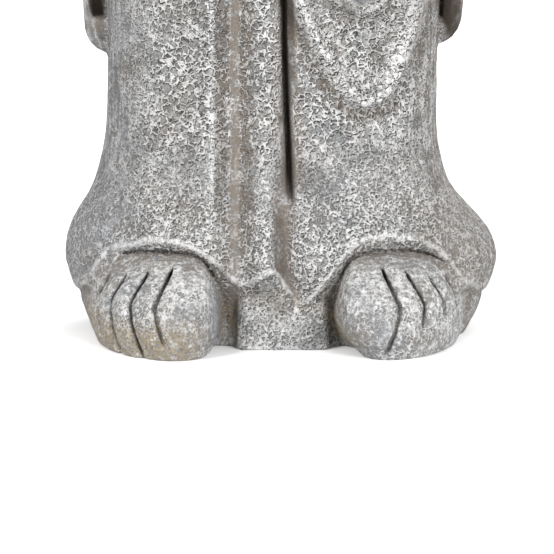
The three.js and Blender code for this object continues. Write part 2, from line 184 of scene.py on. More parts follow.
def fold_curve(nth, count):
    """The nth U fold's line, in x and z, counted from the outermost."""
    u = np.linspace(-1.15, 1.1, count)
    half = np.where(u < 0, SWAG_HALVES[0], SWAG_HALVES[1]) * (1 - 0.16 * nth)
    rise = np.where(u < 0, 49 * np.abs(u) ** 1.6, 47 * np.abs(u) ** 2.2) * (0.7 if nth else 1.0)
    return SWAG_LOWEST[0] - 1.5 * nth + half * u, SWAG_LOWEST[1] + SWAG_SPACING * nth + rise


swag = np.zeros_like(height)
near = (np.abs(across - 35) < 60) & (height > 90) & (height < WAIST + 30) & (np.cos(turn) > 0)
for nth in range(4):
    fold_x, fold_z = fold_curve(nth, 46)
    away = np.full(height.shape, 99.0)
    away[near] = to_curve(across[near], height[near], fold_x, fold_z)
    within = height > np.interp(across, fold_x, fold_z, left=999, right=999)
    swag += 3.3 * bump(away, 2.9) - 2.4 * np.where(within, bump(away - 7.5, 4), bump(away - 6, 3.4))
    if nth:
        # a smooth hollow lies inside each upper fold, as in a pocket
        swag -= 3.0 * step(1.0, 6.5, np.where(within, away, 0))
swag *= 1 - step(WAIST - 14, WAIST + 6, height)
#           x, z, lean, length
WRINKLES = ((34, 131, -0.35, 9), (40.5, 130, 0.1, 9), (45.5, 127, 0.3, 9), (49.5, 135, 0.2, 7))
for x, z, lean, long in WRINKLES:
    swag -= 1.9 * bump(across - x + lean * (height - z), 1.2) * bump(height - z, long)

# Low folds fall down the plain back.
behind = step(0.2, 0.7, -np.cos(turn))
back_folds = 2.0 * np.cos(9 * turn) * behind * (1 - step(150, 235, height))

robe_face = robe_reach + facing * (pleats + swag) + back_folds

# The hem's edge, across the front: an arch over each foot, and between them the pleats' own ends.
#            x, z
HEM_LINE = np.array(
    [
        (-96, 20),
        (-90, 22),
        (-79, 38.5),
        (-66.5, 44.5),
        (-52, 46.6),
        (-38, 43.6),
        (-28.6, 37.7),
        (-22, 30.5),
        (-18.3, 27.7),
        (-11, 31.8),
        (-2.7, 34),
        (1.3, 27),
        (7, 20.3),
        (12.5, 22.5),
        (16, 26.7),
        (21.4, 33.5),
        (29.8, 44.2),
        (41, 48.6),
        (50.5, 48.3),
        (63, 45),
        (72.4, 37.4),
        (80.5, 27.2),
        (87, 21.5),
        (96, 20),
    ]
)
HEM_BAND = 1.25  # the steepness of the band under the edge, where the cloth's thickness shows
HEM_FALL = 0.72  # turns a height under that edge into about the distance from it


def hem_height(x, y):
    across_front = smooth_curve(np.clip(x, -96, 96), HEM_LINE[:, 0], HEM_LINE[:, 1])
    return HEM + (across_front - HEM) * step(5, -30, y)


def around_axis(table, k):
    """One level of a body turned round the robe's axis, from its table of reaches."""
    x = XS[None, :] - middle[k, 0]
    away = np.hypot(x, YS[:, None])
    angle = np.arctan2(x, -YS[:, None])
    return away - np.interp(angle, ANGLES, table[k])


robe = np.empty((len(ZS), len(YS), len(XS)), np.float32)
hem = hem_height(XS[None, :], YS[:, None])
for k, z in enumerate(ZS):
    level = around_axis(robe_face, k)
    under_hem = HEM_FALL * (hem + HEM_BAND * level - z)
    robe[k] = cut(level, -under_hem, 1.0) if z < 60 else np.maximum(level, z - ROBE_TOP)

# ====================================================================================================
# The sleeves
# Each wide sleeve hangs from the forearm as a bag. Its mouth is a long slit between two thick lips, which
# falls from the wrist to the bag's tip beside the knee.
SLEEVE_TIP = 124.5
SLEEVE_STAND = 10.0
SLEEVE_LIP = 4.0
SLEEVE_ROUND = 15.0
SLEEVE_REACH = 72  # about how far the bag hangs from the robe's axis
MOUTH_FLOOR = 141.0
WRIST = np.array((17.0, -62.0, 250.0))
#             angle from the front, height of the bag's lower edge
SLEEVE_EDGE = np.array(
    [
        (0.2, 240),
        (0.6, 226),
        (0.9, 206),
        (1.15, 182),
        (1.29, 160),
        (1.36, 142),
        (1.42, 129),
        (1.58, SLEEVE_TIP),
        (1.8, 132),
        (2.1, 160),
        (2.4, 200),
        (2.7, 230),
    ]
)
side_turn = np.abs(ANGLES)
sleeve_edge = smooth_curve(np.clip(side_turn, 0.2, 2.7), SLEEVE_EDGE[:, 0], SLEEVE_EDGE[:, 1])
sleeve_edge += np.where(ANGLES > 0, 4.0, 0.0)
edge_slope = np.abs(np.gradient(sleeve_edge, ANGLES * SLEEVE_REACH))
edge_cos = 1 / np.sqrt(1 + edge_slope**2)
stand = (
    (SLEEVE_STAND + 7 * step(165, 230, height) + 5 * (1 - step(0.2, 0.95, np.abs(turn))))
    * (1 - step(1.7, 2.6, np.abs(turn)))
    * (1 - step(246, 300, height))
)
# soft folds run down the bag from the elbow
stand += (
    1.3
    * np.cos(11 * (np.abs(turn) - 1.3) + 0.02 * (height - 200))
    * step(0.5, 1.0, np.abs(turn))
    * (1 - step(1.9, 2.4, np.abs(turn)))
    * step(SLEEVE_TIP, 170, height)
    * (1 - step(240, 285, height))
)
cloth = robe  # from here on the robe with all that is worn over it
for k, z in enumerate(ZS):
    if not SLEEVE_TIP - 12 < z < 320:
        continue
    x = XS[None, :] - middle[k, 0]
    y = YS[:, None]
    away = np.hypot(x, y)
    angle = np.arctan2(x, -y)
    inner = np.interp(angle, ANGLES, robe_reach[k])
    thick = np.interp(angle, ANGLES, stand[k])
    edge = np.interp(angle, ANGLES, sleeve_edge)
    slant = np.interp(angle, ANGLES, edge_cos)
    above_edge = (z - edge) * slant
    bag = cut(away - inner - thick, above_edge, SLEEVE_ROUND)
    bag = np.maximum(bag, (0.28 - np.abs(angle)) * away)
    # the mouth gapes on the figure's right and is nearly shut on its left
    gape = np.where(angle < 0, 1, mix(0.3, 1, step(165, 200, z)))
    mouth_half = np.maximum((thick - SLEEVE_LIP) / 2, 0.1) * gape
    mouth = np.maximum(np.abs(away - inner - mouth_half) - mouth_half, above_edge - 16)
    mouth = np.maximum(mouth, (np.abs(angle) - 1.5) * away)
    mouth = np.maximum(mouth, MOUTH_FLOOR - z)
    bag = cut(bag, mouth, 1.5)
    cloth[k] = union(cloth[k], bag.astype(np.float32), 1.2)


def room(low, high):
    """The part of the lattice inside a box, as slices, with its x, y and z."""
    spans = []
    for places, a, b in zip((ZS, YS, XS), low[::-1], high[::-1]):
        i, j = np.searchsorted(places, (a, b))
        spans.append(slice(int(i), int(j)))
    z, y, x = spans
    return (z, y, x), XS[x][None, None, :], YS[y][None, :, None], ZS[z][:, None, None]


def ball(x, y, z, centre, half, lean=0.0, roll=0.0):
    """An ellipsoid, leaned about X, then rolled about Y."""
    px, py, pz = x - centre[0], y - centre[1], z - centre[2]
    if roll:
        px, pz = px * np.cos(roll) - pz * np.sin(roll), px * np.sin(roll) + pz * np.cos(roll)
    if lean:
        py, pz = py * np.cos(lean) + pz * np.sin(lean), -py * np.sin(lean) + pz * np.cos(lean)
    a = np.sqrt((px / half[0]) ** 2 + (py / half[1]) ** 2 + (pz / half[2]) ** 2)
    b = np.sqrt((px / half[0] ** 2) ** 2 + (py / half[1] ** 2) ** 2 + (pz / half[2] ** 2) ** 2)
    return a * (a - 1) / np.maximum(b, 1e-6)


def limb(x, y, z, start, end, r0, r1):
    """A round limb between two points, with its own radius at each."""
    d = np.subtract(end, start)
    px, py, pz = x - start[0], y - start[1], z - start[2]
    t = np.clip((px * d[0] + py * d[1] + pz * d[2]) / d.dot(d), 0, 1)
    return np.sqrt((px - t * d[0]) ** 2 + (py - t * d[1]) ** 2 + (pz - t * d[2]) ** 2) - mix(r0, r1, t)


def strand(x, y, z, points, radii):
    """A chain of limbs through the points."""
    body = limb(x, y, z, points[0], points[1], radii[0], radii[1])
    for i in range(1, len(points) - 1):
        body = np.minimum(body, limb(x, y, z, points[i], points[i + 1], radii[i], radii[i + 1]))
    return body


# ====================================================================================================
# The forearms and the joined hands
# The forearms lie inside the sleeves and lift their upper edge. The bare hands meet palm to palm in front
# of the chest, fingers up, thumbs towards the body.
skin = np.full(cloth.shape, 50.0, np.float32)  # the bare body: feet, hands and head
for side in (-1, 1):
    where, x, y, z = room((-101, -98, 195), (101, 40, 300))
    elbow = (side * 76, -8, 238)
    cuff = (side * (WRIST[0] + 14), WRIST[1] + 8, WRIST[2])
    forearm = limb(x, y, z, elbow, cuff, 20, 17)
    cloth[where] = union(cloth[where], forearm, 9)

    where, x, y, z = room((-40, -98, 225), (40, -40, 330))
    hand = limb(x, y, z, (side * WRIST[0], WRIST[1], WRIST[2] + 4), (side * 7, -72, 268), 9, 8)
    hand = union(hand, ball(x, y, z, (side * 6, -72, 274), (6.5, 14, 22), lean=0.3), 5)
    for i in range(4):
        root = (side * 5.5, -64 - i * 6.2, 288 - i * 1.5)
        tip = (side * 4.4, -71 - i * 5.2, 316 - abs(i - 1.4) * 4)
        hand = union(hand, limb(x, y, z, root, tip, 4.6, 3.9), 1.0)
    thumb = limb(x, y, z, (side * 8, -60, 276), (side * 5.5, -62, 296), 5, 4.2)
    hand = union(hand, thumb, 1.5)
    skin[where] = np.minimum(skin[where], hand)

# ====================================================================================================
# The collar and the surplice
# The robe's bordered collar comes round the neck and crosses over the chest. The edge of the surplice
# runs from the left shoulder down across the chest and back under the right arm.
def on_robe(angle, z, out=0.0):
    k = int(np.searchsorted(ZS, z))
    reach = np.interp(angle, ANGLES, robe_face[k]) + out
    return (middle[k, 0] + reach * np.sin(angle), -reach * np.cos(angle), z)


where, x, y, z = room((-60, -70, 270), (60, 60, 350))
for side, out in ((1, -0.4), (-1, 1.2)):
    t = np.linspace(0, 1, 26)
    heights = mix(334, 286, step(0.5, 1.05, t))
    points = [on_robe(side * a, b, out) for a, b in zip(mix(3.1, -0.3, t), heights)]
    cloth[where] = union(cloth[where], strand(x, y, z, points, [4.6] * len(t)), 1.2)

where, x, y, z = room((-95, -75, 250), (95, 75, 330))
#        angle from, to, height from, to, bend of the fall
SURPLICE_RUNS = (
    (1.5, -1.35, 322, 262, 0.9),  # across the chest
    (1.5, 3.14, 322, 294, 1.0),  # over the shoulder to the middle of the back
    (-3.14, -1.35, 294, 262, 1.0),  # and down under the other arm
)
for start, end, high, low, bend in SURPLICE_RUNS:
    t = np.linspace(0, 1, 22)
    points = [on_robe(a, b, -0.2) for a, b in zip(mix(start, end, t), mix(high, low, t**bend))]
    cloth[where] = union(cloth[where], strand(x, y, z, points, [4.2] * len(t)), 0.8)

# ====================================================================================================
# The block between the feet
# Under the hem the casting runs down to the ground as a rough block, a little inside the cloth, so that
# the statue stands on one broad flat underside.
BLOCK_TOP = 50.0
where, x, y, z = room((-101, -98, -2), (101, 70, BLOCK_TOP + 6))
widest = int(np.searchsorted(ZS, 18))
px = XS[None, :] - middle[widest, 0]
py = YS[:, None]
angle = np.arctan2(px, -py)
rim = np.interp(angle, ANGLES, robe_face[widest])
rim_x, rim_y = middle[widest, 0] + rim * np.sin(angle), -rim * np.cos(angle)
over_foot = step(17, 27, np.abs(rim_x - 1)) * (1 - step(84, 92, np.abs(rim_x))) * step(-20, -45, rim_y)
inset = 1.0 + 9.5 * over_foot
level = (np.hypot(px, py) - np.interp(angle, ANGLES, robe_reach[widest]) + inset)[None]
at_side = step(45, 80, np.abs(rim_x))[None]
tuck_in_front, tuck_at_side = 3.0 * step(4, 26, z), 2.0 + 7 * np.clip(1 - z / 15, 0, 1) ** 1.4
tuck = mix(tuck_in_front, tuck_at_side, at_side) + 6 * step(30, 50, z)
base_block = np.maximum(level + tuck, z - BLOCK_TOP)
cloth[where] = union(cloth[where], base_block.astype(np.float32), 1.0)

# ====================================================================================================
# The feet
# Each bare foot is one smooth dome that comes out from under its arch. Four curved grooves, cut from the
# instep down to the ground, part the five toes, with the big toe on the inner side.
FOOT_OUTLINE = np.radians(
    [-180, -155, -125, -98, -71, -48, -31, -14, 4.5, 25, 53, 86, 123, 155, 180]
)  # from straight ahead towards the little toe
FOOT_REACH = np.array([60, 55, 35, 32, 31, 37, 44, 45.2, 38.5, 31.5, 26.2, 25.8, 33, 50, 60])
FOOT_EDGE = 14.0  # how far in from the outline the dome's edge is rounded
FOOT_WIDEST = 13.0
FOOT_ARCH = 30.0
FOOT_UNDER = 21.0
INSTEP = 48.0
FEET = {
    -1: {"x": -57.0, "inner_tuck": 1.0, "groove_ends": (6, 0, 0, 6)},
    1: {"x": 52.5, "inner_tuck": 10.0, "groove_ends": (3, 13, 15, 17)},
}
FOOT_Y = -50.0
#          outward, ahead, splay, top, half-width
GROOVES = (
    (-0.3, 40, 0.19, 38, 0.95),
    (10.9, 31, 0.34, 36.5, 0.8),
    (19.9, 17, 0.66, 34, 0.8),
    (25.2, 1.75, 0.85, 33, 0.8),
)
GROOVE_DEPTH = 3.4
GROOVE_BEND = 23.0  # below this height a groove curls in towards the big toe
GROOVE_CURL = 8.0
for side, foot in FEET.items():
    low = (-98, -98, -2) if side < 0 else (10, -98, -2)
    high = (-10, 20, 52) if side < 0 else (98, 20, 52)
    where, x, y, z = room(low, high)
    out, ahead = side * (x - foot["x"]), -(y - FOOT_Y)
    angle = np.arctan2(out, ahead)
    rim = smooth_curve(angle, FOOT_OUTLINE, FOOT_REACH)
    rim = rim - foot["inner_tuck"] * bump(angle + 0.8, 0.55) * np.clip(1 - z / 15, 0, 1) ** 1.3
    inward = np.maximum(np.hypot(out, ahead) - rim + FOOT_EDGE, 0) / FOOT_EDGE
    upward = (z - FOOT_WIDEST) / np.where(z > FOOT_WIDEST, FOOT_ARCH, FOOT_UNDER)
    pillow = (np.sqrt(inward**2 + upward**2) - 1) * FOOT_EDGE
    crest_out, crest_ahead = out + 13, np.maximum(ahead + 10, 0)
    roof = INSTEP - 0.0039 * crest_ahead**2.25 - 0.0145 * np.maximum(crest_out, 0) ** 2
    roof = roof + 0.5 * np.maximum(6 - ahead, 0)
    dome = -union(-pillow, -0.8 * (z - roof), 6)
    for i, (g_out, g_ahead, splay, top, half) in enumerate(GROOVES):
        gx, gy = np.sin(splay), np.cos(splay)
        off = (out - g_out) * gy - (ahead - g_ahead) * gx
        along = (out - g_out) * gx + (ahead - g_ahead) * gy
        off = off + GROOVE_CURL * np.clip((GROOVE_BEND - z) / GROOVE_BEND, 0, 1) ** 1.2
        off = off + (4.6 + 0.6 * i) * np.clip((z - GROOVE_BEND) / 14, 0, 1)
        end = foot["groove_ends"][i]
        reach = step(-36, -28, along) * step(end - 2, end + 4, z) * (1 - step(top - 5, top + 1, z))
        dome = dome + 1.9 * bump(off, 2.9) * reach
        wall = np.abs(off) - half * (0.4 + 0.6 * reach)
        groove = np.maximum(wall, -(dome + GROOVE_DEPTH * reach))
        dome = cut(dome, groove, 0.5)
    skin[where] = np.minimum(skin[where], dome)

# ====================================================================================================
# The head
# The head is carved in one with the neck, which is sunk in the collar. It is round and shaved, with long
# ears and a calm, plain face: lowered lids, arched brows and a small mouth.
CROWN, CHIN = 460.0, 334.0
SKULL_HEIGHT, SKULL_HALF_WIDTH, SKULL_HALF_DEPTH = 397, 50, 54
CHEEK_HEIGHT = 374
LID_X, LID_Y, LID_HEIGHT = 20, -46.5, 396.5
LID_HALF = (12, 9.5, 7.5)
EYE_INNER, EYE_OUTER = 9.5, 31.0
MOUTH_HALF = 11.0


def eye_height(t):
    """The height of the line between the lids, from its inner end (0) to its outer end (1)."""
    return 394.4 - 2.6 * np.sin(np.pi * t) + t


def mouth_height(t):
    """The height of the line between the lips, from one corner (-1) to the other (1)."""
    return 364.8 + 1.6 * t * t


where, x, y, z = room((-70, -75, 310), (70, 62, 464))
skull_half = (SKULL_HALF_WIDTH, SKULL_HALF_DEPTH, CROWN - SKULL_HEIGHT)
head = ball(x, y, z, (0, -4, SKULL_HEIGHT), skull_half)
head = union(head, ball(x, y, z, (0, -14, CHEEK_HEIGHT), (43, 41, CHEEK_HEIGHT - CHIN)), 10)
head = union(head, limb(x, y, z, (0, 2, 318), (0, 0, 350), 29, 28), 6)
for side in (-1, 1):
    head = union(head, ball(x, y, z, (side * 22, -36, 373), (15, 14, 15)), 12)
    head = cut(head, ball(x, y, z, (side * 20, -62, 399), (15, 10, 8)), 9)
    head = union(head, ball(x, y, z, (side * LID_X, LID_Y, LID_HEIGHT), LID_HALF), 1.2)
    # the line between the lids follows the lid, and the face where the lid ends
    t = np.linspace(0, 1, 12)
    slit_x, slit_z = mix(EYE_INNER, EYE_OUTER, t), eye_height(t)
    along, up = (slit_x - LID_X) / LID_HALF[0], (slit_z - LID_HEIGHT) / LID_HALF[2]
    on_lid = LID_Y - LID_HALF[1] * np.sqrt(np.maximum(1 - along**2 - up**2, 0))
    on_face = -3.5 - SKULL_HALF_DEPTH * np.sqrt(1 - (slit_x / SKULL_HALF_WIDTH) ** 2)
    slit = list(zip(side * slit_x, np.minimum(on_lid, on_face), slit_z))
    head = cut(head, strand(x, y, z, slit, 0.4 + 0.9 * np.sin(np.pi * t) ** 0.5), 0.5)
    brow_z = 404 + 7.5 * np.sin(np.pi * t) ** 0.9 - 2 * t
    brow = list(zip(side * mix(6, 38, t), -57 + 19 * t**2.2, brow_z))
    head = union(head, strand(x, y, z, brow, 1.3 + 1.6 * np.sin(np.pi * t) ** 0.5), 2.6)
    head = union(head, ball(x, y, z, (side * 5.6, -58, 383), (3.6, 4.6, 3.6)), 2.5)
    shell = ball(x, y, z, (side * 51, 0, 396), (5.5, 10, 18), lean=-0.12)
    shell = cut(shell, ball(x, y, z, (side * 57, -1.5, 398), (4, 6, 12)), 2)
    lobe = ball(x, y, z, (side * 49, -4, 370), (5.5, 7, 15))
    head = union(head, union(shell, lobe, 4), 1.5)
head = union(head, limb(x, y, z, (0, -54.5, 404), (0, -61.5, 384.5), 3.2, 5.0), 4)
for lip_z, half in ((367.0, (10, 4.6, 2.6)), (362.2, (7.5, 4.6, 3.0))):
    head = union(head, ball(x, y, z, (0, -54.5, lip_z), half), 1.5)
t = np.linspace(-1, 1, 15)
parting = [(MOUTH_HALF * a, -54.6 - 4.6 * np.sqrt(1 - a * a), mouth_height(a)) for a in t]
head = cut(head, strand(x, y, z, parting, [1.1] * len(t)), 0.5)
head = union(head, ball(x, y, z, (0, -45, 345.5), (12, 9, 9)), 8)
skin[where] = np.minimum(skin[where], head)

# ====================================================================================================
# The stone's surface
# Cloth and bare skin are one casting. Its faces are laid over the lattice, then the pitted relief of the
# cast surface is pressed into them, deep on the cloth and faint on the bare skin.
# A fine crack parts each foot from the cloth over it, but not low down or at the toes' outer sides.
CRACK_MIDDLE, CRACK_HALF, CRACK_DEPTH = 0.45, 0.42, 2.0
low_part = slice(0, int(np.searchsorted(ZS, 52)))
beside = step(68, 82, np.abs(XS - 1))[None, None, :]
crack = np.abs(skin[low_part] - CRACK_MIDDLE) - CRACK_HALF
crack = np.maximum(crack, -(cloth[low_part] + CRACK_DEPTH))
stone = union(cloth, skin, 1.0 + 9.0 * beside * (ZS < 60)[:, None, None])
beside = np.maximum(beside, 1 - step(24, 33, ZS[low_part])[:, None, None])
stone[low_part] = np.maximum(stone[low_part], -(crack + 2 * beside))
stone = np.maximum(stone, -ZS[:, None, None])


def surface_of(field):
    """The closed surface where the field crosses zero: corners in mm, and quads."""
    solid = field < 0
    shape = np.array(field.shape) - 1
    corner_steps = [(a, b, c) for a in (0, 1) for b in (0, 1) for c in (0, 1)]
    count = np.zeros(tuple(shape), np.uint8)
    for a, b, c in corner_steps:
        count += solid[a : a + shape[0], b : b + shape[1], c : c + shape[2]]
    cells = np.argwhere((count > 0) & (count < 8))
    values = {s: field[tuple((cells + s).T)] for s in corner_steps}
    places = (ZS, YS, XS)
    total = np.zeros((len(cells), 3))
    crossings = np.zeros(len(cells))
    for axis in range(3):
        for s in corner_steps:
            if s[axis]:
                continue
            e = tuple(1 if i == axis else s[i] for i in range(3))
            f0, f1 = values[s], values[e]
            crosses = (f0 < 0) != (f1 < 0)
            t = np.where(crosses, f0 / np.where(crosses, f0 - f1, 1), 0)
            for i in range(3):
                at = places[i][cells[:, i] + s[i]]
                if i == axis:
                    at = at + t * (places[i][cells[:, i] + 1] - at)
                total[:, i] += np.where(crosses, at, 0)
            crossings += crosses
    corners = (total / crossings[:, None])[:, ::-1]
    number = np.full(tuple(shape), -1, np.int32)
    number[tuple(cells.T)] = np.arange(len(cells))
    quads = []
    for axis in range(3):
        u, v = [i for i in range(3) if i != axis]
        near = [slice(1, -1)] * 3
        near[axis] = slice(None, -1)
        far = list(near)
        far[axis] = slice(1, None)
        a, b = solid[tuple(near)], solid[tuple(far)]
        edges = np.argwhere(a != b)
        inward = b[tuple(edges.T)]
        edges[:, u] += 1
        edges[:, v] += 1
        ring = []
        for du, dv in ((0, 0), (1, 0), (1, 1), (0, 1)):
            cell = edges.copy()
            cell[:, u] -= du
            cell[:, v] -= dv
            ring.append(number[tuple(cell.T)])
        ring = np.stack(ring, 1)
        flip = inward if axis != 1 else ~inward
        ring[flip] = ring[flip][:, ::-1]
        quads.append(ring)
    return corners, np.concatenate(quads)


def outer_shell(corners, quads):
    """The largest connected shell, without the sealed bubbles that the cuts leave inside the stone."""
    shell = np.arange(len(corners))
    ends = np.concatenate([quads[:, [0, 1]], quads[:, [1, 2]], quads[:, [2, 3]]])
    while True:
        least = np.minimum(*shell[ends].T)
        joined = shell.copy()
        np.minimum.at(joined, ends[:, 0], least)
        np.minimum.at(joined, ends[:, 1], least)
        joined = joined[joined]
        if np.array_equal(joined, shell):
            break
        shell = joined
    outer = shell == np.bincount(shell).argmax()
    number = np.cumsum(outer) - 1
    return corners[outer], number[quads[outer[quads[:, 0]]]]


corners, quads = outer_shell(*surface_of(stone))
low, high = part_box("jizo_statue")
DESIGN_CENTRE = (-0.68, -15.49)  # where the middle of the statue's box stands from the robe's axis, in mm
shift = [(low[i] + high[i]) * 500 - DESIGN_CENTRE[i] for i in range(2)] + [0.0]
corners = (corners + shift) * 0.001
mesh = bpy.data.meshes.new("jizo_statue")
mesh.vertices.add(len(corners))
mesh.vertices.foreach_set("co", corners.astype(np.float32).ravel())
mesh.loops.add(quads.size)
mesh.loops.foreach_set("vertex_index", quads.astype(np.int32).ravel())
mesh.polygons.add(len(quads))
mesh.polygons.foreach_set("loop_start", np.arange(0, quads.size, 4, dtype=np.int32))
mesh.update(calc_edges=True)
mesh.validate()
mesh.polygons.foreach_set("use_smooth", np.ones(len(mesh.polygons), bool))
statue = bpy.data.objects.new("jizo_stone", mesh)
bpy.context.scene.collection.objects.link(statue)


def read(field, points):
    """The field's value at points in mm, between its stations."""
    at = [np.interp(points[:, 2 - i], p, np.arange(len(p))) for i, p in enumerate((ZS, YS, XS))]
    first = [np.minimum(a.astype(int), n - 2) for a, n in zip(at, field.shape)]
    part = [a - b for a, b in zip(at, first)]
    value = 0
    for dz in (0, 1):
        for dy in (0, 1):
            for dx in (0, 1):
                share = abs(1 - dz - part[0]) * abs(1 - dy - part[1]) * abs(1 - dx - part[2])
                value = value + share * field[first[0] + dz, first[1] + dy, first[2] + dx]
    return value


def strip(v, a, b, soft):
    """1 from a to b, with soft edges."""
    return step(a - soft, a + soft, v) * (1 - step(b - soft, b + soft, v))


def fullness(points, reach, spacing):
    """How much of the space round each point is stone: a half on a flat face, more in a hollow."""
    axes = [np.arange(p[0], p[-1], spacing) for p in (ZS, YS, XS)]
    nearest = [np.clip(np.searchsorted(p, g), 0, len(p) - 1) for p, g in zip((ZS, YS, XS), axes)]
    full = (stone[np.ix_(*nearest)] < 0).astype(np.float32)
    n = max(1, int(round(reach / spacing)))
    for axis in range(3):
        pad = [(0, 0)] * 3
        pad[axis] = (n + 1, n)
        run = np.cumsum(np.pad(full, pad, mode="edge"), axis)
        width = 2 * n + 1
        upper = np.take(run, range(width, run.shape[axis]), axis)
        lower = np.take(run, range(run.shape[axis] - width), axis)
        full = (upper - lower) / width
    at = [
        np.clip(np.rint((points[:, 2 - i] - g[0]) / spacing).astype(int), 0, full.shape[i] - 1)
        for i, g in enumerate(axes)
    ]
    return full[at[0], at[1], at[2]]


